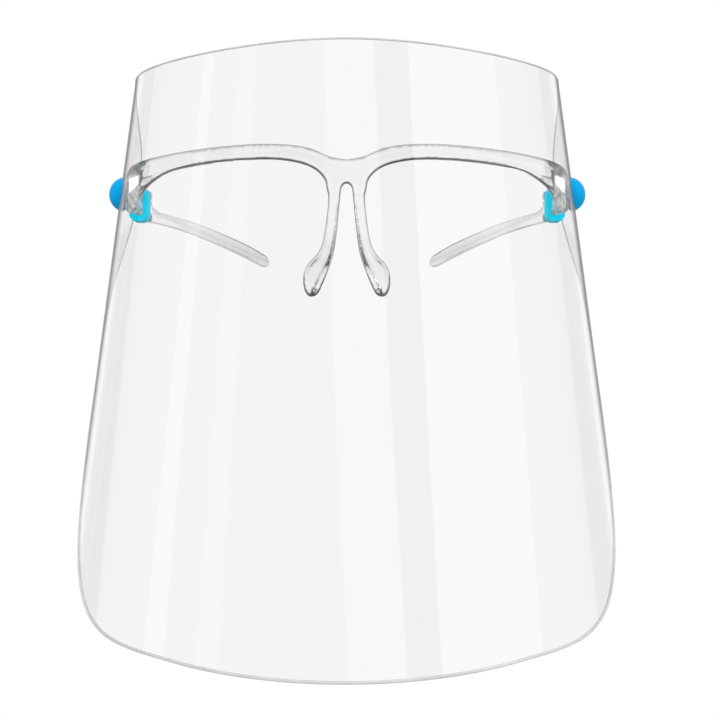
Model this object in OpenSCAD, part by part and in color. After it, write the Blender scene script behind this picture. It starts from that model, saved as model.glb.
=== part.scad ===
// Face shield on a spectacle frame: a clear sheet that flips up on two studs,
// a one-piece brow frame with its nose legs, and two folding temple arms.
// The origin is the nose rest. The wearer faces -Y and +Z is up.

/* [Visor] */
// Radius of the bent sheet at the height of its studs
visor_r = 78.5; // [77.5:0.5:80]
// Widening of the radius for each millimetre further down
visor_flare = 0.132; // [0.10:0.002:0.16]
// Distance of the cone's axis behind the nose rest
visor_axis_y = 14; // [13:0.5:15]
// Height of the top edge at the middle
visor_top = 67; // [62:1:72]
// Height of the bottom edge at the middle
visor_bottom = -128.9; // [-140:1:-120]
// Thickness of the sheet
visor_t = 0.4; // [0.3:0.05:0.5]

/* [Stud and sleeve] */
// Distance of the stud's axis behind the nose rest
stud_y = 21; // [20.5:0.5:21.5]
// Height of the stud's axis
stud_z = 25.5; // [25:0.5:26]
// Radius of the stud's stem
stem_r = 1.75; // [1.5:0.05:1.9]
// Radius of the button's dome
dome_r = 6; // [5:0.5:7]
// Height of the button's dome
dome_h = 6; // [4:0.2:6.4]
// Radial clearance of every turning fit
fit = 0.05; // [0.03:0.01:0.08]
// Thickness of the sleeve's wall above and below the end piece
sleeve_wall = 2.2; // [1.8:0.1:2.4]
// Thickness of the sleeve's wall towards the face
sleeve_side = 1.6; // [1.4:0.1:1.8]

/* [Brow frame] */
// Depth of the brow bar from front to back
brow_depth = 3.6; // [3:0.2:4.4]
// Width of the end piece that passes through the sleeve
tang_w = 2.8; // [2.4:0.1:3]
// Height of the end piece that passes through the sleeve
tang_h = 7.6; // [6.6:0.2:8]

/* [Temple hinge] */
// Distance of the hinge from the middle plane
hinge_x = 72.6; // [72.4:0.1:72.8]
// Distance of the hinge behind the nose rest
hinge_y = 28.9; // [28.8:0.1:29.2]
// Outer radius of the knuckles
knuckle_r = 2.6; // [2.2:0.1:2.6]
// Radius of the hinge screw
screw_r = 0.75; // [0.6:0.05:0.9]
// Thickness of a temple arm
temple_t = 3; // [2.4:0.2:3.4]

/* [Hidden] */
$fn = 64;

CLEAR = [0.86, 0.9, 0.92, 0.6];
SHEET = [0.8, 0.88, 0.92, 0.35];
BLUE = [0, 0.5, 0.9];
CYAN = [0, 0.75, 0.92];
STEEL = [0.7, 0.7, 0.72];

// The sleeve, seen along the end piece
tang_x0 = 71.8;
sleeve_x0 = tang_x0 - sleeve_side;
sleeve_x1 = 76.5;
sleeve_z0 = 15.8;
sleeve_z1 = sleeve_z0 + 2 * sleeve_wall + tang_h;
sleeve_y0 = 15.6;
sleeve_y1 = 26;
sleeve_corner = 2.4;
tang_z0 = sleeve_z0 + sleeve_wall;

// The round boss that the stud turns in stands out from the sleeve
boss_r = 4.8;
boss_x1 = sleeve_x1 + 0.2;
socket_depth = 1.8;

// The sheet leans in and back at the stud, and the dome lies flat on it
stud_lean = atan(visor_flare);
stud_back = asin((stud_y - visor_axis_y) / visor_r);
stud_face_x = sqrt(pow(visor_r, 2) - pow(stud_y - visor_axis_y, 2));
collar_r = 3;
collar_t = 0.6;

// Hinge heights, from the bottom knuckle up
play = 0.1;
knuckle_z0 = 16.6;
knuckle_z1 = 19.4;
knuckle_z2 = 24.2;
knuckle_z3 = 27;
head_r = 1.5;
head_h = 0.8;
slot_w = 0.5;
// The arm loses this much of its thickness by the tip
temple_taper = 0.5;
// Depth of the straight rim under the button's dome
rim = 0.5;
// The two halves of the brow frame run this far past the middle plane
overlap = 0.2;

// Half of the front view of the brow frame, from the dip of the bridge out
// along the top, down round the end and back along the lens edge to the nose
BROW = [[0, 34.2], [6, 35.4], [12, 38], [20, 39.4], [31, 39.7], [41, 39.2],
        [52, 38.2], [63, 36.6], [70.5, 35], [75, 32.6], [76.8, 28.6], [77.3, 23],
        [76.4, 19], [74, 18], [72.2, 19.6], [71.6, 22.4], [68.8, 26.4],
        [64, 29.8], [59, 31.8], [51, 33.2], [41, 34.3], [31, 34.8], [22.5, 34.6],
        [15.6, 33.4], [10.6, 31.3], [7.2, 27.6], [6.1, 23], [2.6, 22.6],
        [2, 24.7], [1.1, 26.1], [0, 26.7]];
// One nose leg and its pad in the front view
LEG = [[6.1, 25], [6.1, 20], [6.7, 14], [7.9, 7], [9.8, 2.8], [12.8, -0.2],
       [14.4, -3.6], [14.6, -7.4], [13.6, -10.4], [11.7, -11.4], [9.8, -10.6],
       [8.1, -7.4], [5.8, -1.8], [4.3, 3.4], [3.3, 10], [2.6, 17], [2.2, 21.4],
       [2, 25]];
// Front and back of the nose leg in the side view, as [y, z]
LEG_FRONT = [[-12.6, 30], [-12.5, 20], [-12, 10], [-10.4, 3], [-8, -3], [-6.4, -13]];
LEG_BACK = [[2.6, -13], [2.4, -6], [0, -1], [-4, 4], [-7.6, 10], [-8.8, 20], [-8.9, 30]];
// Outer and inner faces of the brow frame in the top view, from the middle out
WRAP_OUT = [[0, -12.8], [20, -11.9], [40, -9.2], [56, -5.4], [67, -1.6],
            [74.4, 2.4], [76.8, 7.2], [77.3, 12], [77.3, sleeve_y0]];
WRAP_IN = [[71.9, sleeve_y0], [71.6, 9], [69.2, 5], [64, 2], [54, brow_depth - 5],
           [38, brow_depth - 9.3], [20, brow_depth - 11.9], [0, brow_depth - 12.8]];
// Upper edge of the end piece in the side view, as [y, z]
END_TOP = [[-20, 45], [0, 45], [3, 35], [9, 31.2], [sleeve_y0, 29]];

// A temple arm is full height only clear of the fork's knuckles
butt_y = hinge_y + knuckle_r + 0.4;
// Middle line of a temple arm in the top view, as [x, y]
ARM = [[hinge_x, 30.6], [71.8, 36], [67.6, 48], [58.6, 76], [49.4, 105],
       [40.8, 133], [34.6, 153]];
// Upper and lower edges of a temple arm in the side view, as [y, z]
ARM_TOP = [[butt_y, knuckle_z2 - play], [35, 22.8], [41, 21], [50, 20.4],
           [75, 19.2], [100, 17], [125, 14.4], [140, 12.3]];
ARM_TIP = [[148, 10.9], [151.4, 8.7], [150.4, 6.8], [147, 6.5]];
ARM_BOTTOM = [[134, 8.3], [120, 10.1], [100, 12.4], [75, 15], [55, 16.3],
              [41, 16.9], [butt_y, 17]];

// Side edge of the sheet as [distance round the cone, height], from the end
// of the top edge, round the ear that carries the stud, to the bottom edge
SHEET_SIDE = [[100, 63.5], [111, 62.2], [122, 55.6], [131.5, 48.6], [139.5, 39.6],
              [143.6, 28], [143.6, 15.6], [139.8, 2.4], [134.4, -8], [131, -25],
              [129.4, -48], [126, -66], [123, -80], [119.4, -92], [113, -103.4],
              [104, -112.8], [92, -119], [79.4, -122], [64, -124]];
sheet_top_run = 96;
sheet_bottom_run = 60;
sheet_step = 12;
// The top edge falls by this much away from the middle, over about this length
top_fall = 3.4;
top_fall_run = 48;
// The bottom edge rises as a parabola with this divisor
bottom_rise = 800;

// Smooth curve through hand-set points, `steps` pieces between each pair
function spline(p, steps = 4) = [
    for (i = [0 : len(p) - 2], j = [0 : steps - 1])
        let (a = p[max(i - 1, 0)], b = p[i], c = p[i + 1],
             d = p[min(i + 2, len(p) - 1)], t = j / steps)
        b + t * (c - a) / 2
          + t * t * (a - 2.5 * b + 2 * c - 0.5 * d)
          + t * t * t * (-a / 2 + 1.5 * b - 1.5 * c + d / 2),
    p[len(p) - 1]
];

function last(p) = p[len(p) - 1];
function cone_r(z) = visor_r - visor_flare * (z - stud_z);

// Side view of a point that lies `s` round the cone from the middle at height z
function sheet_point(s, z) =
    [visor_axis_y - cone_r(z) * cos(s / cone_r(z) * 180 / PI), z];
function top_z(s) = visor_top - top_fall * (1 - exp(-pow(s / top_fall_run, 2)));
function bottom_z(s) = visor_bottom + s * s / bottom_rise;

// Extrudes a front view drawn as [x, z] from y0 to y1
module front_view(y0, y1)
    translate([0, y1, 0]) rotate([90, 0, 0]) linear_extrude(y1 - y0) children();

// Extrudes a side view drawn as [y, z] from x0 to x1
module side_view(x0, x1)
    translate([x0, 0, 0]) rotate([90, 0, 90]) linear_extrude(x1 - x0) children();

module both_sides() {
    children();
    mirror([1, 0, 0]) children();
}

module along_x(x0, x1, r)
    translate([x0, stud_y, stud_z]) rotate([0, 90, 0]) cylinder(h = x1 - x0, r = r);

module rounded_box_2d(x0, z0, x1, z1, r) {
    translate([x0 + r, z0]) square([x1 - x0 - 2 * r, z1 - z0]);
    translate([x0, z0 + r]) square([x1 - x0, z1 - z0 - 2 * r]);
    for (x = [x0 + r, x1 - r], z = [z0 + r, z1 - r])
        translate([x, z]) circle(r);
}

module block(lo, hi) translate(lo) cube(hi - lo);

// One half of the brow bar and bridge, with its end piece wrapping back
module brow_half()
    intersection() {
        front_view(-15, sleeve_y0)
            polygon(concat([[-overlap, BROW[0][1]]], spline(BROW), [[-overlap, last(BROW)[1]]]));
        linear_extrude(50)
            polygon(concat([[-overlap, WRAP_OUT[0][1]]], spline(WRAP_OUT),
                           spline(WRAP_IN), [[-overlap, last(WRAP_IN)[1]]]));
        side_view(-overlap, 90)
            polygon(concat(END_TOP, [[sleeve_y0, -20], [-20, -20]]));
    }

module nose_leg()
    intersection() {
        front_view(-15, 5) polygon(spline(LEG));
        side_view(0, 20) polygon(concat(spline(LEG_FRONT), spline(LEG_BACK)));
    }

// The end piece inside the sleeve, and the two knuckles of its fork
module hinge_fork() {
    block([tang_x0, sleeve_y0 - 1, tang_z0], [tang_x0 + tang_w, sleeve_y1, tang_z0 + tang_h]);
    for (z = [[knuckle_z0, knuckle_z1], [knuckle_z2, knuckle_z3]]) {
        knuckle(z[0], z[1]);
        block([hinge_x - knuckle_r, sleeve_y1 + play, z[0]],
              [hinge_x + knuckle_r, hinge_y, z[1]]);
        block([tang_x0, sleeve_y1 - 1, max(z[0], tang_z0)],
              [tang_x0 + tang_w, hinge_y, min(z[1], tang_z0 + tang_h)]);
    }
}

module knuckle(z0, z1, r = knuckle_r)
    translate([hinge_x, hinge_y, z0]) cylinder(h = z1 - z0, r = r);

module brow_frame()
    color(CLEAR) both_sides() {
        brow_half();
        nose_leg();
        difference() {
            hinge_fork();
            knuckle(knuckle_z0 - 1, knuckle_z3 + 1, screw_r + fit);
        }
    }

module visor()
    color(SHEET) difference() {
        intersection() {
            translate([0, visor_axis_y, 0]) rotate_extrude($fn = 180)
                polygon([for (e = [[-140, visor_t], [-140, 0], [80, 0], [80, visor_t]])
                         [cone_r(e[0]) - e[1], e[0]]]);
            side_view(-120, 120)
                polygon(concat(
                    [[-110, bottom_z(0)], [-110, top_z(0)]],
                    [for (s = [0 : sheet_step : sheet_top_run]) sheet_point(s, top_z(s))],
                    [for (p = spline(SHEET_SIDE, 3)) sheet_point(p[0], p[1])],
                    [for (s = [sheet_bottom_run : -sheet_step : 0]) sheet_point(s, bottom_z(s))]));
        }
        both_sides() along_x(60, 90, stem_r + fit);
    }

// Dome outside the sheet, and the stem that turns in the sleeve's socket
module button()
    color(BLUE) {
        along_x(boss_x1 - socket_depth + play, stud_face_x + 1, stem_r);
        along_x(boss_x1 + 0.15, boss_x1 + 0.15 + collar_t, collar_r);
        translate([stud_face_x, stud_y, stud_z])
            rotate([0, 90 - stud_lean, stud_back])
                rotate_extrude()
                    polygon(concat([[0, 0], [dome_r - rim, 0]],
                        [for (a = [0 : 7.5 : 90])
                         [dome_r * cos(a), rim + (dome_h - rim) * sin(a)]]));
    }

module sleeve()
    color(CYAN) difference() {
        union() {
            front_view(sleeve_y0, sleeve_y1)
                rounded_box_2d(sleeve_x0, sleeve_z0, sleeve_x1, sleeve_z1, sleeve_corner);
            along_x(tang_x0 + tang_w, boss_x1, boss_r);
        }
        block([tang_x0, sleeve_y0 - 1, tang_z0], [tang_x0 + tang_w, sleeve_y1 + 1, tang_z0 + tang_h]);
        along_x(boss_x1 - socket_depth, boss_x1 + 1, stem_r + fit);
    }

// Points beside the arm's middle line, tapering towards the tip
function beside(p, side) = [
    for (i = [0 : len(p) - 1])
        let (d = p[min(i + 1, len(p) - 1)] - p[max(i - 1, 0)],
             half = (temple_t - temple_taper * i / len(p)) / 2)
        p[i] + side * half * [-d[1], d[0]] / norm(d)
];
function reversed(p) = [for (i = [len(p) - 1 : -1 : 0]) p[i]];

module temple()
    color(CLEAR) difference() {
        union() {
            knuckle(knuckle_z1 + play, knuckle_z2 - play);
            intersection() {
                side_view(0, 90)
                    polygon(concat([[hinge_y, knuckle_z2 - play]], spline(ARM_TOP),
                                   spline(ARM_TIP), spline(ARM_BOTTOM),
                                   [[butt_y, knuckle_z1 + play], [hinge_y, knuckle_z1 + play]]));
                linear_extrude(50)
                    polygon(concat(beside(spline(ARM), -1), reversed(beside(spline(ARM), 1))));
            }
        }
        knuckle(0, 40, screw_r + fit);
    }

module hinge_screw()
    color(STEEL) difference() {
        union() {
            knuckle(knuckle_z0, knuckle_z3 + head_h / 2, screw_r);
            knuckle(knuckle_z3, knuckle_z3 + head_h, head_r);
        }
        block([hinge_x - head_r, hinge_y - slot_w / 2, knuckle_z3 + head_h / 2],
              [hinge_x + head_r, hinge_y + slot_w / 2, knuckle_z3 + head_h + 1]);
    }

module mirrored() mirror([1, 0, 0]) children();

brow_frame();
visor();
button();  // left_button
mirrored() button();  // right_button
sleeve();  // left_sleeve
mirrored() sleeve();  // right_sleeve
temple();  // left_temple
mirrored() temple();  // right_temple
hinge_screw();  // left_hinge_screw
mirrored() hinge_screw();  // right_hinge_screw
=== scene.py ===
"""Clear face shield on a spectacle frame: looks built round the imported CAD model.

Every piece starts from its CAD node. The clear mouldings, the sleeves and the buttons are remeshed
finely and their edges rounded; the sheet is rebuilt as a smooth cone with a rounded, cut edge.
"""
import math

import bmesh
import bpy
import numpy as np
from mathutils import Matrix, Vector


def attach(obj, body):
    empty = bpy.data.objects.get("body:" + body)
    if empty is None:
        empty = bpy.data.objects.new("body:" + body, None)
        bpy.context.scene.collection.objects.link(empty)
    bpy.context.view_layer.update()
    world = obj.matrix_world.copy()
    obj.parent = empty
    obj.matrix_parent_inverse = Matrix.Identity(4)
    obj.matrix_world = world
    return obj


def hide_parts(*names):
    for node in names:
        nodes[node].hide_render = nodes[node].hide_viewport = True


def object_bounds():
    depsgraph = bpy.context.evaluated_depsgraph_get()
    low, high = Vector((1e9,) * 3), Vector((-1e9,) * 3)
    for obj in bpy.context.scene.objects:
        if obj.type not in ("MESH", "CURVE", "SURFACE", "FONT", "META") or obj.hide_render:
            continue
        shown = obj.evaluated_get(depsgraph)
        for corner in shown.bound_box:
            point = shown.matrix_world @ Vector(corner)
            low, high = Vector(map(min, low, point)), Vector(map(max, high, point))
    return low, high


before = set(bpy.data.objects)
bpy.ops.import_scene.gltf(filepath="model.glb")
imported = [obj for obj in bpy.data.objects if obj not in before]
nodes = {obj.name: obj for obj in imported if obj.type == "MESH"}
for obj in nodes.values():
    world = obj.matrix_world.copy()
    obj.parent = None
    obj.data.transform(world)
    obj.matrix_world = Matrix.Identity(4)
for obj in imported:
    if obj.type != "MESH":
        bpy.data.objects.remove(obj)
cad_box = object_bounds()

MM = 0.001
WHITE = (1, 1, 1, 1)

# ---------------------------------------------------------------- camera

CONE_AXIS_Y = 0.014
CAMERA_PLACE = 0.0045, CONE_AXIS_Y - 0.650, -0.033
CAMERA_LENS = 92.85


def add_camera():
    """A level camera in front of the object, at the middle of the sheet's height."""
    data = bpy.data.cameras.new("camera")
    data.lens = CAMERA_LENS
    data.sensor_width = 36
    data.clip_start = 0.01
    camera = bpy.data.objects.new("camera", data)
    bpy.context.scene.collection.objects.link(camera)
    camera.location = CAMERA_PLACE
    camera.rotation_euler = (math.radians(90), 0, 0)
    bpy.context.scene.camera = camera


# ---------------------------------------------------------------- node helpers

class Tree:
    """A small helper that adds and links shader nodes."""

    def __init__(self, tree):
        self.tree = tree
        tree.nodes.clear()

    def add(self, kind, **settings):
        node = self.tree.nodes.new(kind)
        for key, value in settings.items():
            setattr(node, key, value)
        return node

    def link(self, source, target):
        self.tree.links.new(source, target)

    def math(self, operation, a, b=None, clamp=False):
        node = self.add("ShaderNodeMath", operation=operation, use_clamp=clamp)
        for socket, value in zip(node.inputs, (a, b)):
            if value is None:
                continue
            if isinstance(value, (int, float)):
                socket.default_value = value
            else:
                self.link(value, socket)
        return node.outputs[0]

    def ramp(self, factor, stops):
        """A colour ramp through (position, grey or colour) stops."""
        node = self.add("ShaderNodeValToRGB")
        elements = node.color_ramp.elements
        while len(elements) < len(stops):
            elements.new(0.5)
        for element, (position, value) in zip(elements, stops):
            element.position = position
            colour = (value,) * 3 if isinstance(value, (int, float)) else value
            element.color = (*colour, 1)
        self.link(factor, node.inputs[0])
        return node.outputs[0]

    def mix_colour(self, factor, a, b):
        node = self.add("ShaderNodeMix", data_type="RGBA")
        self.link(factor, node.inputs[0])
        self.link(a, node.inputs[6])
        if isinstance(b, tuple):
            node.inputs[7].default_value = b
        else:
            self.link(b, node.inputs[7])
        return node.outputs[2]

    def multiply(self, a, b):
        node = self.add("ShaderNodeMix", data_type="RGBA", blend_type="MULTIPLY")
        node.inputs[0].default_value = 1
        self.link(a, node.inputs[6])
        self.link(b, node.inputs[7])
        return node.outputs[2]

    def map_range(self, value, low, high, to_low, to_high, kind="SMOOTHSTEP"):
        """From to_low to to_high as the value goes from low to high."""
        node = self.add("ShaderNodeMapRange", interpolation_type=kind)
        self.link(value, node.inputs[0])
        for socket, number in zip(list(node.inputs)[1:5], (low, high, to_low, to_high)):
            socket.default_value = number
        return node.outputs[0]

    def mix_shader(self, factor, a, b):
        """Shader a where the factor is 0 and shader b where it is 1."""
        node = self.add("ShaderNodeMixShader")
        if isinstance(factor, float):
            node.inputs[0].default_value = factor
        else:
            self.link(factor, node.inputs[0])
        self.link(a, node.inputs[1])
        self.link(b, node.inputs[2])
        return node.outputs[0]

    def close(self, shader):
        self.link(shader, self.add("ShaderNodeOutputMaterial").inputs[0])


def new_material(name):
    material = bpy.data.materials.new(name)
    material.use_nodes = True
    return material, Tree(material.node_tree)


def object_noise(t, scale, detail=3, stretch=(1, 1, 1)):
    """Noise in the object's own coordinates, in noise cells per metre."""
    place = t.add("ShaderNodeTexCoord")
    mapping = t.add("ShaderNodeMapping")
    mapping.inputs["Scale"].default_value = stretch
    t.link(place.outputs["Object"], mapping.inputs["Vector"])
    noise = t.add("ShaderNodeTexNoise")
    noise.inputs["Scale"].default_value = scale
    noise.inputs["Detail"].default_value = detail
    t.link(mapping.outputs[0], noise.inputs["Vector"])
    return noise.outputs[0]


def bump(t, height, strength, distance):
    node = t.add("ShaderNodeBump")
    node.inputs["Strength"].default_value = strength
    node.inputs["Distance"].default_value = distance
    t.link(height, node.inputs["Height"])
    return node.outputs[0]


def axis_split(t, vector):
    split = t.add("ShaderNodeSeparateXYZ")
    t.link(vector, split.inputs[0])
    return split.outputs


# ---------------------------------------------------------------- materials

def sheet_material():
    """Clear film: a mirror's share by angle over what shows straight through.

    It is darker at a glance, which is painted shade. At the studs' height its mirrored share is cut back
    by place, a painted lessening of its reflection, so that blue parts show through.
    """
    material, t = new_material("clear_sheet")
    facing = t.add("ShaderNodeLayerWeight").outputs["Facing"]
    place = axis_split(t, t.add("ShaderNodeTexCoord").outputs["Object"])
    # painted lessening of the reflection: the mirrored share is cut back by place beside the studs
    near = t.map_range(t.math("ABSOLUTE", place["X"]), *STUD_ZONE_X, 0, 1)
    near = t.math("MULTIPLY", near, t.map_range(place["Z"], *STUD_ZONE_LOW, 0, 1))
    near = t.math("MULTIPLY", near, t.map_range(place["Z"], *STUD_ZONE_HIGH, 1, 0))
    near = t.math("MULTIPLY", near, t.map_range(facing, *STUD_ZONE_FACING, 1, 0))
    share = t.math("MULTIPLY", t.math("POWER", facing, MIRROR_POWER), MIRROR_AT_GLANCE)
    share = t.math("ADD", share, MIRROR_STRAIGHT)
    share = t.math("MULTIPLY", share, t.math("SUBTRACT", 1, t.math("MULTIPLY", near, STUD_ZONE_SPARES)))
    # painted shade: the film's tint darkens towards a glancing view
    through = t.ramp(facing, [(0, 0.957), (0.43, 0.957), (0.57, 0.94), (0.82, 0.94), (0.86, 0.85),
                              (0.9, 0.72), (1, 0.62)])
    beside_stud = t.ramp(facing, [(0, 0.965), (1, 0.96)])
    clear = t.add("ShaderNodeBsdfTransparent")
    t.link(t.mix_colour(near, through, beside_stud), clear.inputs["Color"])
    gloss = t.add("ShaderNodeBsdfGlossy")
    gloss.inputs["Color"].default_value = WHITE
    scratches = object_noise(t, 400, 4, (1, 1, 0.06))
    t.link(t.ramp(scratches, [(0.35, 0.015), (0.8, 0.04)]), gloss.inputs["Roughness"])
    t.link(bump(t, object_noise(t, 16, 2), 0.04, 0.002), gloss.inputs["Normal"])
    t.close(t.mix_shader(share, clear.outputs[0], gloss.outputs[0]))
    return material


# The film's mirrored share seen straight on, what a glancing view adds, and how late it comes in
MIRROR_STRAIGHT = 0.04
MIRROR_AT_GLANCE = 0.9
MIRROR_POWER = 8
# Where the film loses part of that, a painted lessening of its reflection: distances from the middle,
# heights at the lower and upper ends, and how far the film may turn from the view
STUD_ZONE_SPARES = 0.85
STUD_ZONE_X = 59 * MM, 64 * MM
STUD_ZONE_LOW = 10 * MM, 14 * MM
STUD_ZONE_HIGH = 30 * MM, 36 * MM
STUD_ZONE_FACING = 0.79, 0.85


def rim_material():
    """The sheet's polished edge, painted grey: the grey stands in for the light that the edge carries
    along the film.
    """
    material, t = new_material("sheet_rim")
    clear = t.add("ShaderNodeBsdfTransparent")
    clear.inputs["Color"].default_value = (0.86, 0.87, 0.88, 1)
    solid = t.add("ShaderNodeBsdfPrincipled")
    tone = object_noise(t, 60, 3)
    t.link(t.ramp(tone, [(0.3, (0.50, 0.51, 0.52)), (0.7, (0.62, 0.63, 0.64))]),
           solid.inputs["Base Color"])
    t.link(t.ramp(object_noise(t, 900, 3), [(0.3, 0.2), (0.7, 0.4)]), solid.inputs["Roughness"])
    t.close(t.mix_shader(RIM_SOLID, clear.outputs[0], solid.outputs[0]))
    return material


RIM_SOLID = 0.6
EDGE_MARK = "edge"


def edge_tones(t, flat, bent):
    """Pale on flat faces, a painted white highlight beside an edge, and painted dark shade where a
    rounded edge turns away.
    """
    mark = t.add("ShaderNodeAttribute", attribute_name=EDGE_MARK).outputs["Fac"]
    edge_highlight = t.ramp(t.add("ShaderNodeLayerWeight").outputs["Facing"], [(0, 1), (0.8, 0.95), (1, 0.5)])
    beside = t.mix_colour(t.map_range(mark, 0.05, 0.3, 0, 1), flat, edge_highlight)
    return t.mix_colour(t.map_range(mark, 0.35, 0.85, 0, 1), beside, bent)


def glass_shader(t, tint, index):
    """Refracting plastic in a tint, with fine scuffs and long soft waves."""
    glass = t.add("ShaderNodeBsdfPrincipled")
    glass.inputs["Transmission Weight"].default_value = 1
    glass.inputs["IOR"].default_value = index
    t.link(tint, glass.inputs["Base Color"])
    t.link(t.ramp(object_noise(t, 900, 4), [(0.35, 0.01), (0.8, 0.05)]), glass.inputs["Roughness"])
    t.link(bump(t, object_noise(t, 130, 2), 0.1, 0.001), glass.inputs["Normal"])
    return glass.outputs[0]


def on_edge(t):
    """1 on rounded edges and 0 on flat faces, from the mark that round_edges stores."""
    mark = t.add("ShaderNodeAttribute", attribute_name=EDGE_MARK).outputs["Fac"]
    return t.map_range(mark, 0.55, 0.95, 0, 1)


def band(t, value, low, high, soft):
    """1 between two values and 0 outside them, with soft ends."""
    rise = t.map_range(value, low - soft, low + soft, 0, 1)
    return t.math("MULTIPLY", rise, t.map_range(value, high - soft, high + soft, 1, 0))


def finish_clear(t, shader):
    """Lets light pass the moulding when it casts a shadow, and closes the material."""
    through = t.add("ShaderNodeBsdfTransparent")
    through.inputs["Color"].default_value = (0.93, 0.94, 0.95, 1)
    is_shadow = t.add("ShaderNodeLightPath").outputs["Is Shadow Ray"]
    t.close(t.mix_shader(is_shadow, shader, through.outputs[0]))


def leaning(t, across, height, slope):
    """Height measured from a line that falls by the slope towards the side."""
    return t.math("ADD", height, t.math("MULTIPLY", across, slope))


def end_piece_painted_light(t, across, height):
    """Painted light on the end pieces: mottled grey that stands in for their internal reflections, one
    slanting painted white highlight, and painted shade above it and towards the outer side.
    """
    mottle_and_shade = t.ramp(object_noise(t, 700, 4, (1, 0.4, 0.7)), [(0.35, 0.2), (0.5, 0.34), (0.62, 0.5)])
    # painted shade: darker towards the top and towards the outer side
    high = t.map_range(height, *TOP_SHADE, 0, 1)
    outward = t.map_range(across, *SIDE_SHADE, 0, 1)
    mottle_and_shade = t.multiply(mottle_and_shade, t.ramp(high, [(0, 1), (1, 0.5)]))
    mottle_and_shade = t.multiply(mottle_and_shade, t.ramp(outward, [(0, 1), (1, 0.3)]))
    # painted highlight: a slanting white patch
    below_top = t.map_range(leaning(t, across, height, PATCH_TOP_SLOPE), *PATCH_TOP, 1, 0)
    above_foot = t.map_range(leaning(t, across, height, PATCH_FOOT_SLOPE), *PATCH_FOOT, 0, 1)
    highlight_patch = t.math("MULTIPLY", band(t, across, *PATCH_ACROSS, 0.35 * MM), below_top)
    return t.mix_colour(t.math("MULTIPLY", highlight_patch, above_foot), mottle_and_shade, WHITE)


def web_shade(t, across, height):
    """Painted shade: grey on the web between the brow bar and an end piece, darker along the web's upper
    brink.
    """
    rise = leaning(t, across, height, WEB_SLOPE)
    beyond = t.map_range(across, *WEB_ACROSS, 0, 1)
    web = t.math("MULTIPLY", beyond, t.map_range(rise, *WEB_BRINK, 1, 0))
    brink = t.math("MULTIPLY", beyond, band(t, rise, *WEB_BRINK, 0.25 * MM))
    return t.multiply(t.ramp(web, [(0, 1), (1, 0.8)]), t.ramp(brink, [(0, 1), (1, 0.4)]))


def milky_shader(t, facing, across, height):
    """The end pieces' clouded plastic, with a little painted glow that keeps its painted highlight white.
    """
    milky = t.add("ShaderNodeBsdfPrincipled")
    shade = end_piece_painted_light(t, across, height)
    t.link(shade, milky.inputs["Base Color"])
    t.link(shade, milky.inputs["Emission Color"])
    milky.inputs["Emission Strength"].default_value = MILKY_PAINTED_GLOW
    t.link(t.ramp(facing, [(0, 0.15), (1, 0.22)]), milky.inputs["Roughness"])
    return milky.outputs[0]


def painted_contour(t, facing, across, height):
    """The strength of the painted dark contour where an edge has turned away, from 0 to 1: less on edges
    that face up than down, painted as if lit from above.
    """
    upward = axis_split(t, t.add("ShaderNodeNewGeometry").outputs["Normal"])["Z"]
    # painted shade: edges that face down take darker contours than those that face up
    depth = t.ramp(t.map_range(upward, -0.5, 0.5, 0, 1, "LINEAR"),
                   [(0, 1), (0.25, 0.97), (0.5, 0.85), (0.58, 0.62), (0.7, 0.5), (1, 0.5)])
    turned = t.math("ADD", facing, t.map_range(upward, -0.4, 0.4, 0.16, -0.01))
    on_leg = t.ramp(t.map_range(height, *LEG_HEIGHT, 0, 1, "LINEAR"), LEG_NARROWS)
    under_end = t.math("MULTIPLY", t.map_range(across, *BAR_END, 0, END_NARROWS),
                       t.map_range(upward, -0.1, 0.1, 1, 0))
    turned = t.math("SUBTRACT", t.math("SUBTRACT", turned, on_leg), under_end)
    line = t.math("MULTIPLY", on_edge(t), t.map_range(turned, 0.1, 0.28, 0, 1))
    return t.math("MULTIPLY", line, depth)


def clear_plastic():
    """Thick clear moulding: refraction, painted shade that deepens the tint along its contours and on the
    web, painted highlights beside edges, and milky end pieces with painted light.
    """
    material, t = new_material("clear_plastic")
    facing = t.add("ShaderNodeLayerWeight").outputs["Facing"]
    place = axis_split(t, t.add("ShaderNodeTexCoord").outputs["Object"])
    across, height = t.math("ABSOLUTE", place["X"]), place["Z"]
    waves = t.ramp(object_noise(t, 260, 3, (0.12, 1, 1)), [(0.3, 0.94), (0.65, 1)])
    # painted shade: the flat faces' tint darkens towards a glancing view
    flat = t.multiply(waves, t.ramp(facing, [(0, 0.97), (0.5, 0.94), (0.8, 0.86), (1, 0.4)]))
    flat = t.multiply(flat, web_shade(t, across, height))
    # painted shade: the tint darkens where a rounded edge turns away from the view
    bent = t.ramp(facing, [(0, 0.98), (0.08, 0.9), (0.25, 0.5), (1, 0.3)])
    contour_shade = t.ramp(painted_contour(t, facing, across, height), CONTOUR_SHADE_RAMP)
    glass = glass_shader(t, t.multiply(edge_tones(t, flat, bent), contour_shade), MOULDING_INDEX)
    milky = milky_shader(t, facing, across, height)
    finish_clear(t, t.mix_shader(t.map_range(across, *BLOCK_X, 0, MILKY_SHARE), glass, milky))
    return material


MOULDING_INDEX = 1.46
# The glass tint falls to nearly black as a contour gains strength: painted shade that stands in for
# the light that a real edge bends away
CONTOUR_SHADE_RAMP = [(0, 1), (1, 0.02)]
# The end pieces turn milky between these distances from the middle. Their painted white highlight lies
# between two distances; its upper and lower ends fall towards the side, and their places are given as
# leaning heights. The painted shades above it and beside it deepen between two heights or distances.
BLOCK_X = 70.4 * MM, 71.4 * MM
MILKY_SHARE = 0.88
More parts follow.
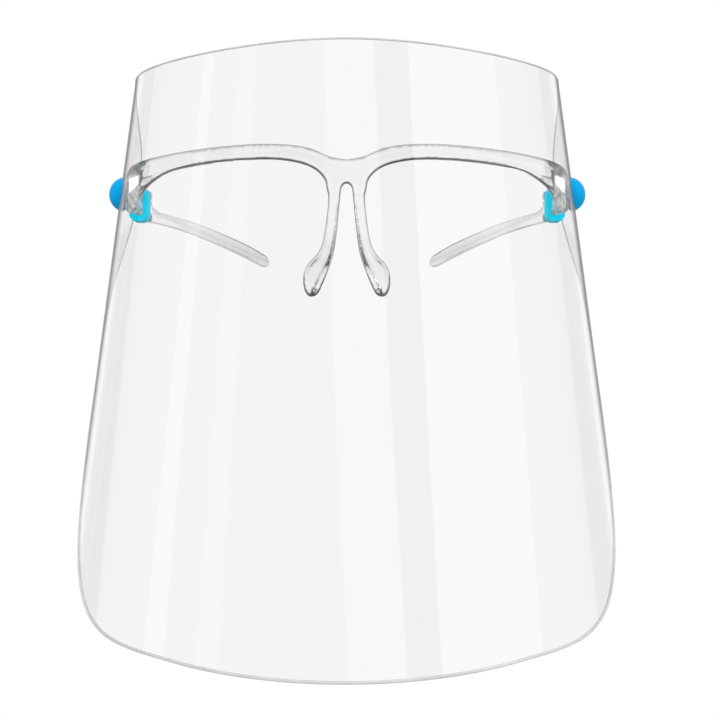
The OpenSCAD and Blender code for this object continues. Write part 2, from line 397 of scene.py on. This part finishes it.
# How strongly the end pieces glow: painted light
MILKY_PAINTED_GLOW = 0.3
PATCH_ACROSS = 71.5 * MM, 74.9 * MM
PATCH_TOP_SLOPE = 0.3
PATCH_TOP = 51.4 * MM, 52.0 * MM
PATCH_FOOT_SLOPE = 0.86
PATCH_FOOT = 88.4 * MM, 89.1 * MM
TOP_SHADE = 29.8 * MM, 31.2 * MM
SIDE_SHADE = 74.9 * MM, 76.1 * MM
# Painted grey shade on the web where the brow bar meets an end piece, and darker painted shade along its
# upper brink
WEB_ACROSS = 62.8 * MM, 64.8 * MM
WEB_SLOPE = 0.16
WEB_BRINK = 40.2 * MM, 40.8 * MM
# The painted dark contours narrow on the nose legs, from the pads' lower ends up to the brow bar
LEG_HEIGHT = -9 * MM, 25 * MM
LEG_NARROWS = [(0, 0), (0.12, 0.05), (0.2, 0.4), (0.32, 0.35), (0.4, 0.2), (0.75, 0.12), (1, 0)]
# and under the ends of the bar
BAR_END = 50 * MM, 64 * MM
END_NARROWS = 0.22


def temple_plastic():
    """The arms' clear moulding, with painted light: pale low down as a painted highlight, greyer above as
    painted shade, and painted dark contours and shade that deepen towards the tip.
    """
    material, t = new_material("temple_plastic")
    facing = t.add("ShaderNodeLayerWeight").outputs["Facing"]
    place = axis_split(t, t.add("ShaderNodeTexCoord").outputs["Object"])
    upward = axis_split(t, t.add("ShaderNodeNewGeometry").outputs["Normal"])["Z"]
    drop = t.math("ADD", place["Z"], t.math("MULTIPLY", place["Y"], ARM_FALL))
    # painted highlight on the lower bevel and painted grey shade on the band above it
    face = t.ramp(t.map_range(drop, *ARM_FACE, 0, 1, "LINEAR"),
                  [(0, 0.99), (0.33, 0.99), (0.42, 0.76), (0.55, 0.8), (0.7, 0.93), (1, 0.94)])
    flat = t.multiply(face, t.ramp(facing, [(0, 1), (0.6, 0.97), (0.9, 0.9), (1, 0.5)]))
    towards_tip = t.map_range(place["Y"], *ARM_DARKENS, 0, 1)
    flat = t.multiply(flat, t.ramp(towards_tip, [(0, 1), (1, 0.86)]))
    # painted shade: dark contours on the top and lower edges, stronger towards the tip and at a glance
    top = t.math("MULTIPLY", t.map_range(upward, 0.06, 0.3, 0, 1),
                 t.ramp(towards_tip, [(0, 0.25), (1, 0.95)]))
    under = t.math("MULTIPLY", t.map_range(upward, -0.97, -0.8, 1, 0),
                   t.ramp(towards_tip, [(0, 0.1), (1, 0.3)]))
    glancing = t.map_range(facing, 0.3, 0.7, 0, 1)
    contour_shade = t.math("MULTIPLY", t.math("MAXIMUM", top, under), glancing)
    finish_clear(t, glass_shader(t, t.multiply(flat, t.ramp(contour_shade, CONTOUR_SHADE_RAMP)), ARM_INDEX))
    return material


# How fast an arm falls towards its tip, the heights that its face, with its painted pale bevel and grey
# band, lies between once that fall is taken out, and where along it the painted shade deepens
ARM_FALL = 0.105
ARM_FACE = 21.8 * MM, 27.3 * MM
ARM_DARKENS = 75 * MM, 125 * MM
# Lower than the plastic's own, so that the thin arms stay pale
ARM_INDEX = 1.15


def blue_plastic(name, dark, light, roughness, grain):
    """Coloured moulding with a fine matt grain."""
    material, t = new_material(name)
    shader = t.add("ShaderNodeBsdfPrincipled")
    tone = t.ramp(object_noise(t, 180, 4), [(0.3, dark), (0.7, light)])
    t.link(tone, shader.inputs["Base Color"])
    speckle = object_noise(t, 2600, 3)
    t.link(t.ramp(speckle, [(0.3, roughness - 0.05), (0.7, roughness + 0.07)]),
           shader.inputs["Roughness"])
    t.link(bump(t, speckle, grain, 0.0002), shader.inputs["Normal"])
    shader.inputs["Specular IOR Level"].default_value = 0.04
    t.close(shader.outputs[0])
    return material


def screw_steel():
    """Bright steel with turned rings round the screw's axis."""
    material, t = new_material("screw_steel")
    shader = t.add("ShaderNodeBsdfPrincipled")
    shader.inputs["Metallic"].default_value = 1
    tone = object_noise(t, 1500, 3)
    t.link(t.ramp(tone, [(0.3, (0.45, 0.45, 0.47)), (0.7, (0.66, 0.66, 0.68))]),
           shader.inputs["Base Color"])
    t.link(t.ramp(tone, [(0.3, 0.22), (0.7, 0.4)]), shader.inputs["Roughness"])
    t.link(bump(t, object_noise(t, 4000, 2, (1, 1, 0.1)), 0.2, 0.0001), shader.inputs["Normal"])
    t.close(shader.outputs[0])
    return material


# ---------------------------------------------------------------- meshes

def link(name, mesh):
    piece = bpy.data.objects.new(name, mesh)
    bpy.context.scene.collection.objects.link(piece)
    return piece


def welded_copy(node):
    """The CAD node's mesh with its split corners joined again."""
    work = bmesh.new()
    work.from_mesh(nodes[node].data)
    bmesh.ops.remove_doubles(work, verts=work.verts, dist=1e-7)
    mesh = bpy.data.meshes.new(node + "_welded")
    work.to_mesh(mesh)
    work.free()
    return mesh


def read_points(mesh, kind):
    """The mesh's positions ("co") or normals ("normal") as rows of x, y, z."""
    values = np.empty(len(mesh.vertices) * 3)
    mesh.vertices.foreach_get(kind, values)
    return values.reshape(-1, 3)


def round_edges(mesh, push):
    """Stores how tightly each point is curved, from 0 when flat to 1 on an edge, as the edge mark.

    The rounded parts, which smoothing has drawn in, move out again by the push; flat faces stay.
    """
    count = len(mesh.vertices)
    points, normals = read_points(mesh, "co"), read_points(mesh, "normal")
    ends = np.empty(len(mesh.edges) * 2, np.int32)
    mesh.edges.foreach_get("vertices", ends)
    a, b = ends.reshape(-1, 2).T
    spread = np.bincount(a, minlength=count) + np.bincount(b, minlength=count)

    def blur(values, rounds):
        for _ in range(rounds):
            around = np.bincount(a, values[b], count) + np.bincount(b, values[a], count)
            values = (values + around / spread) / 2
        return values

    step = points[b] - points[a]
    square = (step ** 2).sum(1)
    rise = np.bincount(a, (step * normals[a]).sum(1) / square, count)
    rise -= np.bincount(b, (step * normals[b]).sum(1) / square, count)
    curve = blur(-2 * rise / spread, MARK_BLUR)
    mark = np.clip((curve - MARK_FLAT) / (MARK_ROUND - MARK_FLAT), 0, 1)
    moved = points + normals * (blur(mark, PUSH_BLUR) * push)[:, None]
    mesh.vertices.foreach_set("co", moved.ravel())
    layer = mesh.attributes.new(EDGE_MARK, "FLOAT", "POINT")
    layer.data.foreach_set("value", adjust_mark(mark, points, normals))


def adjust_mark(mark, points, normals):
    """Fades the mark, and with it the painted dark contours, behind the sleeves and low on the end
    pieces; fills it under the bridge, where it becomes painted shade.
    """
    x, y, z = np.abs(points[:, 0]), points[:, 1], points[:, 2]
    at_hinge = (x > HINGE_X) & (y > HINGE_Y[0]) & (y < HINGE_Y[1])
    mark = np.where(at_hinge, mark * HINGE_FADE, mark)
    mark = np.where(x > BLOCK_X[0], mark * np.interp(z, BLOCK_FADE_Z, BLOCK_FADE), mark)
    arch = (x < ARCH_X) & (z > ARCH_Z[0]) & (z < ARCH_Z[1]) & (normals[:, 2] < ARCH_DOWN)
    return np.where(arch, 1, mark)


MARK_BLUR = 8
PUSH_BLUR = 16
MARK_FLAT = 50
MARK_ROUND = 200
# The knuckles behind the sleeves keep only part of their painted dark edges
HINGE_X = 69 * MM
HINGE_Y = 25 * MM, 33 * MM
HINGE_FADE = 0.15
# and so do the end pieces' lower ends
BLOCK_FADE_Z = np.array([20, 27]) * MM
BLOCK_FADE = 0.4, 1
# The underside of the bridge's arch gets painted shade all over
ARCH_X = 3.4 * MM
ARCH_Z = 23 * MM, 30 * MM
ARCH_DOWN = -0.05


def slant_legs(mesh):
    """Leans the inner faces of the nose legs outwards towards the back, more so at the pads."""
    points = read_points(mesh, "co")
    x, y, z = np.abs(points[:, 0]), points[:, 1], points[:, 2]
    front = np.interp(z, LEG_Z, LEG_FRONT)
    back = np.interp(z, LEG_Z, LEG_BACK)
    inner = np.interp(z, LEG_Z, LEG_INNER)
    outer = np.interp(z, LEG_Z, LEG_OUTER)
    depth = np.clip((y - front) / (back - front), 0, 1)
    across = np.clip((outer - x) / (outer - inner), 0, 1)
    slant = np.interp(z, LEG_Z, LEG_SLANT) * (x < 20 * MM)
    points[:, 0] += np.sign(points[:, 0]) * slant * depth * across
    mesh.vertices.foreach_set("co", points.ravel())


# One nose leg at a few heights: its front and back, inner and outer faces, and how far its inner
# face leans
LEG_Z = np.array([-11.4, -6, -1, 4, 10, 20, 24]) * MM
LEG_FRONT = np.array([-6.6, -7.5, -8.7, -10.6, -12.0, -12.5, -12.5]) * MM
LEG_BACK = np.array([2.6, 2.4, 0, -4, -7.6, -8.8, -8.8]) * MM
LEG_INNER = np.array([10.4, 7.4, 5.5, 4.2, 3.3, 2.3, 2.1]) * MM
LEG_OUTER = np.array([12.6, 14.6, 13.3, 9.3, 7.3, 6.1, 6.1]) * MM
LEG_SLANT = np.array([3.0, 3.2, 2.4, 1.2, 1.0, 0.8, 0]) * MM


def rounded(node, name, voxel, rounds, push, body, material, reshape=None):
    """A fine remesh of a CAD node with its edges rounded off, which stands for the node."""
    piece = link(name, welded_copy(node))
    if reshape:
        fine = piece.modifiers.new("fine", "REMESH")
        fine.mode = "VOXEL"
        fine.voxel_size = voxel
        graph = bpy.context.evaluated_depsgraph_get()
        piece.data = bpy.data.meshes.new_from_object(piece.evaluated_get(graph))
        piece.modifiers.clear()
        reshape(piece.data)
    remesh = piece.modifiers.new("remesh", "REMESH")
    remesh.mode = "VOXEL"
    remesh.voxel_size = voxel
    remesh.use_smooth_shade = True
    smooth = piece.modifiers.new("smooth", "SMOOTH")
    smooth.factor = 0.5
    smooth.iterations = rounds
    graph = bpy.context.evaluated_depsgraph_get()
    mesh = bpy.data.meshes.new_from_object(piece.evaluated_get(graph))
    piece.modifiers.clear()
    piece.data = mesh
    mesh.name = name
    round_edges(mesh, push)
    mesh.materials.clear()
    mesh.materials.append(material)
    mesh.shade_smooth()
    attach(piece, body)
    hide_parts(node)


def bevelled(node, name, width, body, material):
    """The CAD node's shape with narrow bevels along its edges, which stands for the node."""
    piece = link(name, welded_copy(node))
    bevel = piece.modifiers.new("bevel", "BEVEL")
    bevel.width = width
    bevel.segments = 2
    bevel.limit_method = "ANGLE"
    bevel.angle_limit = math.radians(40)
    graph = bpy.context.evaluated_depsgraph_get()
    mesh = bpy.data.meshes.new_from_object(piece.evaluated_get(graph))
    piece.modifiers.clear()
    piece.data = mesh
    mesh.materials.clear()
    mesh.materials.append(material)
    mesh.shade_smooth()
    mesh.set_sharp_from_angle(angle=math.radians(35))
    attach(piece, body)
    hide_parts(node)


# ---------------------------------------------------------------- sheet

def cone_of(mesh):
    """The sheet's outer cone, from its CAD mesh: radius at z = 0 and its change with z."""
    points = np.array([v.co for v in mesh.vertices])
    radius = np.hypot(points[:, 0], points[:, 1] - CONE_AXIS_Y)
    slope, start = np.polyfit(points[:, 2], radius, 1)
    outer = (radius - (start + slope * points[:, 2])).max()
    return start + outer, slope


def outline_of(mesh, start, slope):
    """The sheet's outline as a smooth closed loop of (angle, z) on the outer cone."""
    uses = {}
    for face in mesh.polygons:
        for key in face.edge_keys:
            uses.setdefault(key, []).append(face.normal)
    onward = {}
    for key, normals in uses.items():
        if normals[0].dot(normals[1]) > 0.7:
            continue
        ends = [mesh.vertices[i].co for i in key]
        off_cone = max(abs(math.hypot(p.x, p.y - CONE_AXIS_Y) - start - slope * p.z) for p in ends)
        off_stud = max(math.hypot(p.y - STUD_Y, p.z - STUD_Z) for p in ends)
        if off_cone < 0.1 * MM and off_stud > 3 * MM:
            for a, b in (key, key[::-1]):
                onward.setdefault(a, []).append(b)
    here = next(iter(onward))
    loop, last = [here], None
    while True:
        ahead = next(i for i in onward[loop[-1]] if i != last)
        if ahead == here:
            break
        last = loop[-1]
        loop.append(ahead)
    points = np.array([mesh.vertices[i].co for i in loop])
    flat = np.column_stack([np.arctan2(points[:, 0], CONE_AXIS_Y - points[:, 1]), points[:, 2]])
    return smooth_loop(flat, CONE_R)


LOOP_STEP = 0.7 * MM
LOOP_BLUR = 2.4 * MM


def smooth_loop(flat, radius):
    """The closed loop resampled at even steps and blurred along its length."""
    closed = np.vstack([flat, flat[:1]])
    steps = np.hypot(np.diff(closed[:, 0]) * radius, np.diff(closed[:, 1]))
    run = np.concatenate([[0], np.cumsum(steps)])
    count = round(run[-1] / LOOP_STEP)
    even = np.arange(count) * run[-1] / count
    loop = np.column_stack([np.interp(even, run, closed[:, i]) for i in (0, 1)])
    reach = round(3 * LOOP_BLUR / LOOP_STEP)
    offsets = np.arange(-reach, reach + 1)
    weights = np.exp(-0.5 * (offsets * LOOP_STEP / LOOP_BLUR) ** 2)
    weights /= weights.sum()
    return sum(w * np.roll(loop, -k, axis=0) for k, w in zip(offsets, weights))


def span_at(loop, angle):
    """Lowest and highest z of the outline at one angle round the cone."""
    a0, a1 = loop[:, 0], np.roll(loop[:, 0], -1)
    z0, z1 = loop[:, 1], np.roll(loop[:, 1], -1)
    hit = ((a0 - angle) * (a1 - angle) <= 0) & (a0 != a1)
    heights = z0[hit] + (z1 - z0)[hit] * (angle - a0[hit]) / (a1 - a0)[hit]
    return heights.min(), heights.max()


def on_cone(start, slope, angle, z, depth=0):
    radius = start + slope * z - depth
    return radius * math.sin(angle), CONE_AXIS_Y - radius * math.cos(angle), z


STUD_Y = 21 * MM
STUD_Z = 25.5 * MM
STUD_HOLE_R = 1.8 * MM
CONE_R = 78.5 * MM
SHEET_COLUMNS = 240
SHEET_ROWS = 96
SHEET_T = 0.4 * MM
# The rim is a little thicker along the bottom edge
RIM_Z = np.array([-115, -60, 50]) * MM
RIM_R = np.array([0.52, 0.36, 0.32]) * MM
# and slimmer where it lies behind the film, between these angles and beyond
RIM_BEHIND = 84, 90
RIM_BEHIND_R = 0.21 * MM


def sheet_mesh(loop, start, slope):
    """The bent sheet as two smooth cone faces with a narrow cut face round them."""
    widest = loop[:, 0].max() * 0.9999
    even = np.linspace(-1, 1, SHEET_COLUMNS + 1)
    angles = widest * (0.5 * even + 0.5 * np.sin(even * math.pi / 2))
    work = bmesh.new()
    skins = []
    for depth in (0, SHEET_T):
        skin = []
        for angle in angles:
            heights = np.linspace(*span_at(loop, angle), SHEET_ROWS + 1)
            skin.append([work.verts.new(on_cone(start, slope, angle, z, depth)) for z in heights])
        skins.append(skin)
    for skin, inward in zip(skins, (False, True)):
        for i in range(SHEET_COLUMNS):
            for j in range(SHEET_ROWS):
                quad = [skin[i][j], skin[i + 1][j], skin[i + 1][j + 1], skin[i][j + 1]]
                work.faces.new(quad[::-1] if inward else quad)
    rim = [(i, 0) for i in range(SHEET_COLUMNS)]
    rim += [(SHEET_COLUMNS, j) for j in range(SHEET_ROWS)]
    rim += [(i, SHEET_ROWS) for i in range(SHEET_COLUMNS, 0, -1)]
    rim += [(0, j) for j in range(SHEET_ROWS, 0, -1)]
    for (i, j), (k, m) in zip(rim, rim[1:] + rim[:1]):
        work.faces.new([skins[0][k][m], skins[0][i][j], skins[1][i][j], skins[1][k][m]])
    bmesh.ops.dissolve_degenerate(work, edges=work.edges, dist=1e-6)
    mesh = bpy.data.meshes.new("shield_sheet")
    work.to_mesh(mesh)
    work.free()
    return mesh


def drill(piece, tool):
    """Cuts a closed tool shape out of a piece."""
    cut = piece.modifiers.new("cut", "BOOLEAN")
    cut.operation = "DIFFERENCE"
    cut.solver = "EXACT"
    cut.object = tool
    graph = bpy.context.evaluated_depsgraph_get()
    mesh = bpy.data.meshes.new_from_object(piece.evaluated_get(graph))
    piece.modifiers.clear()
    piece.data = mesh
    bpy.data.objects.remove(tool)


def stud_drill():
    """A rod along X through both stud holes."""
    work = bmesh.new()
    place = Matrix.Translation((0, STUD_Y, STUD_Z)) @ Matrix.Rotation(math.radians(90), 4, "Y")
    bmesh.ops.create_cone(work, cap_ends=True, segments=48, radius1=STUD_HOLE_R,
                          radius2=STUD_HOLE_R, depth=0.2, matrix=place)
    mesh = bpy.data.meshes.new("stud_drill")
    work.to_mesh(mesh)
    work.free()
    return link("stud_drill", mesh)


def tube_mesh(name, centres, outwards, radii, sides):
    """A closed ring of round cross-sections about the centres; outwards are their first axes."""
    work = bmesh.new()
    rings = []
    count = len(centres)
    for i, (centre, outward, radius) in enumerate(zip(centres, outwards, radii)):
        along = (centres[(i + 1) % count] - centres[i - 1]).normalized()
        across = along.cross(outward).normalized()
        up = across.cross(along)
        rings.append([
            work.verts.new(centre + radius * (math.cos(a) * up + math.sin(a) * across))
            for a in np.linspace(0, 2 * math.pi, sides, endpoint=False)])
    for i in range(count):
        here, ahead = rings[i], rings[(i + 1) % count]
        for j in range(sides):
            work.faces.new([here[j], here[(j + 1) % sides], ahead[(j + 1) % sides], ahead[j]])
    bmesh.ops.recalc_face_normals(work, faces=work.faces)
    mesh = bpy.data.meshes.new(name)
    work.to_mesh(mesh)
    work.free()
    return mesh


def finish_sheet_piece(piece, material):
    piece.data.materials.clear()
    piece.data.materials.append(material)
    piece.data.shade_smooth()
    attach(piece, "visor")
    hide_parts("visor")


def build_sheet(film, rim):
    """The sheet with its stud holes, and the rounded rim that its cut edge shows as."""
    mesh = welded_copy("visor")
    start, slope = cone_of(mesh)
    loop = outline_of(mesh, start, slope)
    sheet = link("shield_sheet", sheet_mesh(loop, start, slope))
    drill(sheet, stud_drill())
    finish_sheet_piece(sheet, film)
    sheet.data.set_sharp_from_angle(angle=math.radians(40))
    centres = [Vector(on_cone(start, slope, a, z, SHEET_T / 2)) for a, z in loop]
    outwards = [Vector((math.sin(a), -math.cos(a), -slope)) for a, z in loop]
    radii = np.interp(loop[:, 1], RIM_Z, RIM_R)
    behind = np.interp(np.degrees(np.abs(loop[:, 0])), RIM_BEHIND, (0, 1))
    radii = (radii + (RIM_BEHIND_R - radii) * behind).tolist()
    edge = link("shield_rim", tube_mesh("shield_rim", centres, outwards, radii, 12))
    finish_sheet_piece(edge, rim)


# ---------------------------------------------------------------- stage

# Panels round the object that only its reflections show: where each starts, in degrees round from
# the camera's side at the horizon, how far that edge leans for each degree up, and how bright it is.
PANELS = [(-180, 0, 0.35), (-160, 0, 0.6), (-157, 0, 0.95), (-153, 0, 1.15), (-145, 0, 0.75),
          (-139, 0, 0.5), (-130, 0, 0.22), (-118.7, -0.62, 0.9), (-85.5, 0.1, 1.45),
          (-74.7, -0.1, 0.85), (-60, 0, 1.1), (-50, 0, 0.82), (4.5, -0.68, 1.25), (25.4, -0.43, 0.45),
          (37.4, -0.15, 1.42), (81.0, 0.32, 0.88), (120.3, 0.54, 0.28), (132, 0, 0.5),
          (139, 0, 0.75), (145, 0, 1.15), (153, 0, 0.95), (157, 0, 0.6), (160, 0, 0.35)]
PANEL_EDGE = math.radians(1.0)
AROUND_POWER = 1.2


def panel_levels(t, towards):
    """The panels' brightness in the direction towards which a ray goes."""
    turn = t.math("ARCTAN2", towards["X"], t.math("MULTIPLY", towards["Y"], -1))
    rise = t.math("ARCSINE", towards["Z"])
    panels = PANELS[0][2]
    for (_, _, before), (start, lean, level) in zip(PANELS, PANELS[1:]):
        past = t.math("SUBTRACT", t.math("SUBTRACT", turn, math.radians(start)),
                      t.math("MULTIPLY", rise, lean))
        step = t.math("ADD", t.math("DIVIDE", past, PANEL_EDGE), 0.5, clamp=True)
        panels = t.math("ADD", panels, t.math("MULTIPLY", step, level - before))
    return panels


def build_world():
    """White behind the object, panels in its reflections and dark flags in its refractions."""
    world = bpy.data.worlds.new("studio")
    bpy.context.scene.world = world
    world.use_nodes = True
    t = Tree(world.node_tree)
    path = t.add("ShaderNodeLightPath")
    towards = axis_split(t, t.add("ShaderNodeTexCoord").outputs["Generated"])
    height = t.math("ADD", t.math("MULTIPLY", towards["Z"], 0.5), 0.5)
    through = t.ramp(height, [(0, 0.3), (0.12, 0.5), (0.22, 0.97), (0.64, 0.97), (0.74, 0.15), (1, 0.05)])
    around = t.ramp(height, [(0, 0.45), (0.35, 0.7), (0.5, 0.9), (0.7, 1.0), (1, 1.0)])

    def background(colour, strength=1.0):
        node = t.add("ShaderNodeBackground")
        node.inputs["Strength"].default_value = strength
        if isinstance(colour, float):
            node.inputs["Color"].default_value = (colour, colour, colour, 1)
        else:
            t.link(colour, node.inputs["Color"])
        return node.outputs[0]

    mirrored = t.mix_shader(path.outputs["Is Glossy Ray"], background(around, AROUND_POWER),
                            background(panel_levels(t, towards)))
    bent = t.mix_shader(path.outputs["Is Transmission Ray"], mirrored, background(through))
    seen = t.mix_shader(path.outputs["Is Camera Ray"], bent, background(1.0))
    t.link(seen, t.add("ShaderNodeOutputWorld").inputs[0])


FLOOR_DROP = 0.30


def build_floor():
    """A wide white floor well below the object, which its reflections and shading leave out."""
    bpy.ops.mesh.primitive_grid_add(size=40, x_subdivisions=4, y_subdivisions=4,
                                    location=(0, 0, cad_box[0][2] - FLOOR_DROP))
    floor = bpy.context.object
    floor.name = "floor"
    floor.visible_diffuse = False
    floor.visible_glossy = False
    floor.visible_transmission = False
    material, t = new_material("floor")
    t.close(t.add("ShaderNodeEmission").outputs[0])
    floor.data.materials.append(material)


def add_light(name, place, size, power):
    data = bpy.data.lights.new(name, "AREA")
    data.size = size
    data.energy = power
    light = bpy.data.objects.new(name, data)
    light.location = place
    light.rotation_euler = (Vector((0, 0, 0)) - Vector(place)).to_track_quat("-Z", "Y").to_euler()
    light.visible_camera = False
    light.visible_glossy = False
    bpy.context.scene.collection.objects.link(light)


def build_lights():
    add_light("key", (-0.8, -1.4, 1.0), 0.9, 15)
    add_light("fill", (1.2, -1.1, 0.5), 1.2, 10)


# ---------------------------------------------------------------- assembly

add_camera()
build_world()
build_floor()
build_lights()

film = sheet_material()
rim = rim_material()
moulding = clear_plastic()
arm_plastic = temple_plastic()
azure = blue_plastic("azure_plastic", (0.0, 0.26, 0.55), (0.0, 0.30, 0.62), 0.38, 0.15)
cyan = blue_plastic("cyan_plastic", (0.0, 0.58, 0.78), (0.0, 0.66, 0.88), 0.42, 0.15)
steel = screw_steel()

build_sheet(film, rim)
rounded("brow_frame", "brow_moulding", 0.3 * MM, 50, 0.25 * MM, "frame", moulding,
        slant_legs)
for side in ("left", "right"):
    rounded(f"{side}_temple", f"{side}_arm", 0.22 * MM, 90, 0.2 * MM,
            f"{side}_temple", arm_plastic)
    rounded(f"{side}_sleeve", f"{side}_grip_sleeve", 0.15 * MM, 12, 0.03 * MM,
            "frame", cyan)
    rounded(f"{side}_button", f"{side}_snap_button", 0.15 * MM, 6, 0.02 * MM,
            "visor", azure)
    bevelled(f"{side}_hinge_screw", f"{side}_screw", 0.08 * MM, "frame", steel)

bpy.context.scene.view_settings.view_transform = "Standard"
